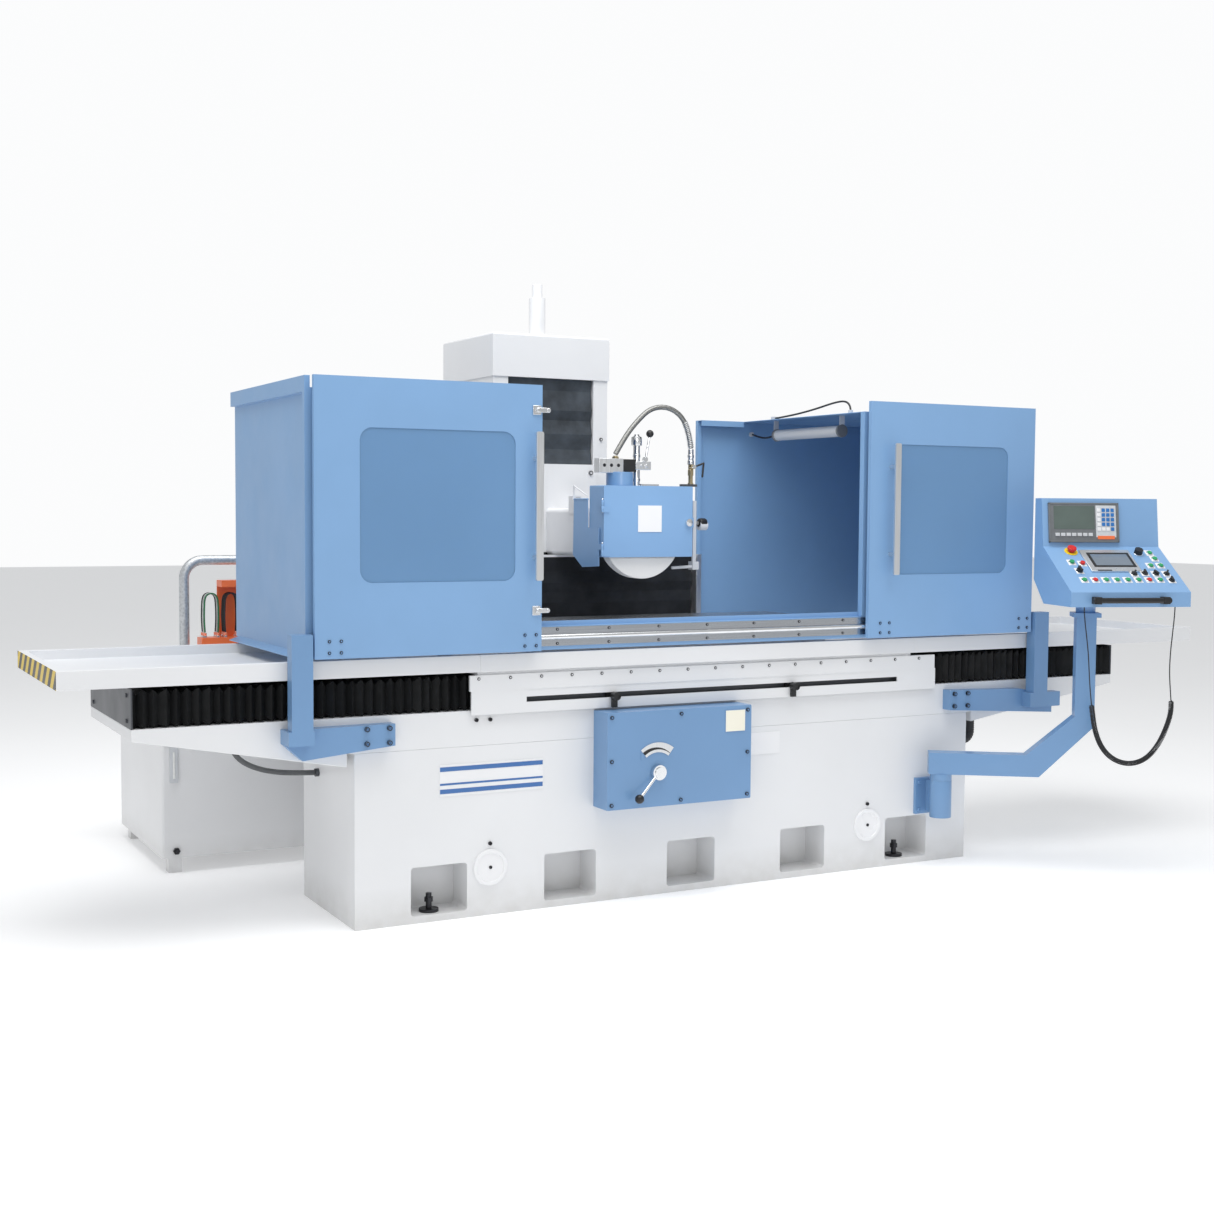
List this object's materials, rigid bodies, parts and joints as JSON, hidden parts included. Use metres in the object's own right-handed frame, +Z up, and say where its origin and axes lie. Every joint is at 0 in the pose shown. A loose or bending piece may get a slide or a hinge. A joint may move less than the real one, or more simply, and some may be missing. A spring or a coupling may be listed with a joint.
{
  "type": "surface grinding machine",
  "caption": "Column-type surface grinder: long bed and table, sliding-door splash enclosure, wheelhead on a column, pendant console and coolant tank.",
  "frame": {"origin": "centre of the base's footprint on the floor", "axes": "+X along the table to the operator's right, +Y from the operator to the column, +Z up"},
  "size_m": [5.64, 3.1361, 2.756],
  "materials": {
    "casting_white": "semi-gloss paint",
    "enclosure_blue": "textured semi-gloss paint",
    "control_blue": "semi-gloss paint",
    "plain_plate": "printed plate, blank",
    "dark_steel": "satin black",
    "bellows_black": "coated cloth",
    "ground_steel": "ground",
    "galvanised": "galvanised",
    "aluminium": "anodised",
    "chrome": "polished",
    "brass": "machined",
    "window_glass": "clear polycarbonate",
    "orange_paint": "gloss paint",
    "black_plastic": "moulded",
    "red_plastic": "moulded",
    "green_plastic": "moulded",
    "hose_rubber": "hose",
    "armoured_hose": "interlocked",
    "abrasive": "vitrified abrasive"
  },
  "bodies": {
    "machine": {"base": "casting_white", "levelling_bolts": "ground_steel", "base_plates": "plain_plate", "bed": "casting_white", "bed_end_plates": "dark_steel", "table_bellows_left": "bellows_black", "table_bellows_right": "bellows_black", "enclosure_left": "enclosure_blue", "enclosure_right": "enclosure_blue", "front_beam": "enclosure_blue", "door_rails": "ground_steel", "enclosure_posts": "control_blue", "lamp": "aluminium", "lamp_cables": "hose_rubber", "control_box": "control_blue", "tank": "casting_white", "tank_fittings": "dark_steel", "supply_pipe": "galvanised", "hydraulic_station": "orange_paint", "hydraulic_hoses": "hose_rubber", "bed_hose": "hose_rubber", "conduits": "dark_steel", "arm_bracket": "control_blue"},
    "table": {"table": "casting_white", "table_end_covers": "casting_white", "magnetic_chuck": "ground_steel", "trip_panel": "casting_white"},
    "trip_dog_left": {"trip_dog_left": "black_plastic"},
    "trip_dog_right": {"trip_dog_right": "black_plastic"},
    "left_door": {"left_door": "enclosure_blue", "left_window": "window_glass", "left_door_handle": "aluminium"},
    "right_door": {"right_door": "enclosure_blue", "right_window": "window_glass", "right_door_handle": "aluminium"},
    "speed_lever": {"speed_lever": "chrome"},
    "swing_arm": {"swing_arm": "control_blue"},
    "console": {"console_housing": "control_blue", "console_panels": "black_plastic", "curly_cord": "hose_rubber"},
    "e_stop": {"e_stop": "red_plastic"},
    "start_button": {"start_button": "green_plastic"},
    "stop_button": {"stop_button": "red_plastic"},
    "mode_selector": {"mode_selector": "black_plastic"},
    "feed_knob": {"feed_knob": "black_plastic"},
    "column": {"column": "casting_white", "column_bellows_upper": "bellows_black", "column_bellows_lower": "bellows_black"},
    "wheelhead": {"wheelhead": "casting_white", "wheel_guard": "control_blue", "coolant_fittings": "aluminium", "coolant_hose": "armoured_hose", "dresser": "chrome"},
    "wheel": {"spindle": "ground_steel", "grinding_wheel": "abrasive"},
    "guard_door": {"guard_door": "control_blue"},
    "splash_flap": {"splash_flap": "control_blue"},
    "valve_lever": {"valve_lever": "chrome"},
    "dresser_lever": {"dresser_lever": "chrome"},
    "nozzle_bar": {"nozzle_bar": "ground_steel"}
  },
  "joints": [
    {"name": "table_slide", "type": "slide", "parent": "machine", "child": "table", "axis": [1, 0, 0], "range_m": [-0.8, 0.8], "deforming": ["table_bellows_left", "table_bellows_right"]},
    {"name": "left_dog_slide", "type": "slide", "parent": "table", "child": "trip_dog_left", "axis": [1, 0, 0], "range_m": [-0.35, 0.3]},
    {"name": "right_dog_slide", "type": "slide", "parent": "table", "child": "trip_dog_right", "axis": [1, 0, 0], "range_m": [-0.3, 0.45]},
    {"name": "left_door_slide", "type": "slide", "parent": "machine", "child": "left_door", "axis": [1, 0, 0], "range_m": [0, 0.82]},
    {"name": "right_door_slide", "type": "slide", "parent": "machine", "child": "right_door", "axis": [1, 0, 0], "range_m": [-0.82, 0]},
    {"name": "speed_lever_turn", "type": "hinge", "parent": "machine", "child": "speed_lever", "pos_m": [-0.244, -1.274, 0.557], "axis": [0, 1, 0], "range_deg": [-20, 110]},
    {"name": "arm_swing", "type": "hinge", "parent": "machine", "child": "swing_arm", "pos_m": [1.295, -1.26, 0.42], "axis": [0, 0, 1], "range_deg": [-50, 8]},
    {"name": "console_swivel", "type": "hinge", "parent": "swing_arm", "child": "console", "pos_m": [1.81115, -1.63501, 1.21], "axis": [0, 0, 1], "range_deg": [-25, 20]},
    {"name": "e_stop_press", "type": "slide", "parent": "console", "child": "e_stop", "axis": [0.1766, 0.513, -0.84], "range_m": [0, 0.004], "stiffness_N_per_m": 2500},
    {"name": "start_press", "type": "slide", "parent": "console", "child": "start_button", "axis": [0.1766, 0.513, -0.84], "range_m": [0, 0.004], "stiffness_N_per_m": 900},
    {"name": "stop_press", "type": "slide", "parent": "console", "child": "stop_button", "axis": [0.1766, 0.513, -0.84], "range_m": [0, 0.004], "stiffness_N_per_m": 900},
    {"name": "mode_turn", "type": "hinge", "parent": "console", "child": "mode_selector", "pos_m": [1.70463, -1.69864, 1.39494], "axis": [-0.1766, -0.513, 0.84], "range_deg": [-45, 45]},
    {"name": "feed_turn", "type": "hinge", "parent": "console", "child": "feed_knob", "pos_m": [2.06833, -1.69593, 1.47307], "axis": [-0.1766, -0.513, 0.84], "range_deg": [-140, 140]},
    {"name": "column_slide", "type": "slide", "parent": "machine", "child": "column", "axis": [0, 1, 0], "range_m": [-0.3, 0.2]},
    {"name": "wheelhead_slide", "type": "slide", "parent": "column", "child": "wheelhead", "axis": [0, 0, 1], "range_m": [-0.165, 0.23], "deforming": ["column_bellows_upper", "column_bellows_lower"]},
    {"name": "wheel_spin", "type": "hinge", "parent": "wheelhead", "child": "wheel", "pos_m": [0.015, -0.64, 1.548], "axis": [0, 1, 0], "continuous": true},
    {"name": "guard_door_hinge", "type": "hinge", "parent": "wheelhead", "child": "guard_door", "pos_m": [-0.212, -0.703, 1.6], "axis": [0, 0, 1], "range_deg": [-110, 0]},
    {"name": "splash_flap_hinge", "type": "hinge", "parent": "wheelhead", "child": "splash_flap", "pos_m": [-0.2095, -0.49, 1.708], "axis": [0, 1, 0], "range_deg": [0, 75]},
    {"name": "valve_lever_turn", "type": "hinge", "parent": "wheelhead", "child": "valve_lever", "pos_m": [0.292, -0.661, 1.862], "axis": [0, 1, 0], "range_deg": [0, 80]},
    {"name": "dresser_lever_turn", "type": "hinge", "parent": "wheelhead", "child": "dresser_lever", "pos_m": [0.03, -0.664, 1.892], "axis": [0, 1, 0], "range_deg": [-35, 35]},
    {"name": "nozzle_bar_slide", "type": "slide", "parent": "wheelhead", "child": "nozzle_bar", "axis": [0, 0, 1], "range_m": [-0.04, 0.035]}
  ]
}
